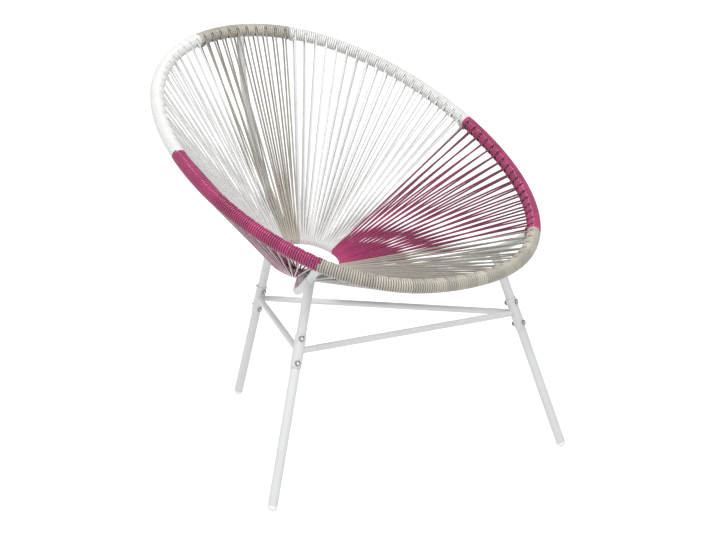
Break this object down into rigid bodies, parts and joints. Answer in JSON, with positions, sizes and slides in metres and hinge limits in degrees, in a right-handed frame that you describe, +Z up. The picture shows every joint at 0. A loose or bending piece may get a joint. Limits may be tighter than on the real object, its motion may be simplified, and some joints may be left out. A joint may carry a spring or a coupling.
{
  "type": "acapulco chair",
  "caption": "Low lounge chair with cords stretched between a wound hoop and a small ring, on bolted, splayed legs of white painted tube.",
  "frame": {"origin": "on the floor, under the middle of the chair's bounding box", "axes": "+Z up, -Y towards the front of the chair, +X towards the sitter's left"},
  "size_m": [0.7456, 0.8612, 0.8484],
  "materials": {
    "coat": "white powder coat, satin",
    "plated": "bright zinc plate",
    "plug": "matte white plastic",
    "cord_white": "glossy white vinyl cord",
    "cord_magenta": "glossy magenta vinyl cord",
    "cord_taupe": "glossy taupe vinyl cord"
  },
  "bodies": {
    "root": {"rim_hoop": "coat", "centre_ring": "coat", "right_front_strut": "coat", "left_front_strut": "coat", "rear_strut": "coat", "right_front_leg_stub": "coat", "left_front_leg_stub": "coat", "rear_leg_stub": "coat", "right_front_lower_leg": "coat", "left_front_lower_leg": "coat", "rear_lower_leg": "coat", "right_front_joint_sleeve": "coat", "left_front_joint_sleeve": "coat", "rear_joint_sleeve": "coat", "front_stretcher": "coat", "left_stretcher": "coat", "right_stretcher": "coat", "right_front_foot_plug": "plug", "left_front_foot_plug": "plug", "rear_foot_plug": "plug", "right_front_upper_bolt": "plated", "right_front_lower_bolt": "plated", "left_front_upper_bolt": "plated", "left_front_lower_bolt": "plated", "rear_upper_bolt": "plated", "rear_lower_bolt": "plated", "right_front_upper_cap_nut": "plated", "right_front_lower_cap_nut": "plated", "left_front_upper_cap_nut": "plated", "left_front_lower_cap_nut": "plated", "rear_upper_cap_nut": "plated", "rear_lower_cap_nut": "plated", "front_taupe_winding": "cord_taupe", "back_taupe_winding": "cord_taupe", "left_magenta_winding": "cord_magenta", "right_magenta_winding": "cord_magenta", "left_white_winding": "cord_white", "right_white_winding": "cord_white", "left_front_taupe_fan_1": "cord_taupe", "left_front_taupe_fan_2": "cord_taupe", "left_magenta_fan_1": "cord_magenta", "left_magenta_fan_2": "cord_magenta", "left_magenta_fan_3": "cord_magenta", "left_white_fan_1": "cord_white", "left_white_fan_2": "cord_white", "left_white_fan_3": "cord_white", "left_back_taupe_fan": "cord_taupe", "right_front_taupe_fan_1": "cord_taupe", "right_front_taupe_fan_2": "cord_taupe", "right_magenta_fan_1": "cord_magenta", "right_magenta_fan_2": "cord_magenta", "right_magenta_fan_3": "cord_magenta", "right_white_fan_1": "cord_white", "right_white_fan_2": "cord_white", "right_white_fan_3": "cord_white", "right_back_taupe_fan": "cord_taupe"}
  },
  "joints": []
}
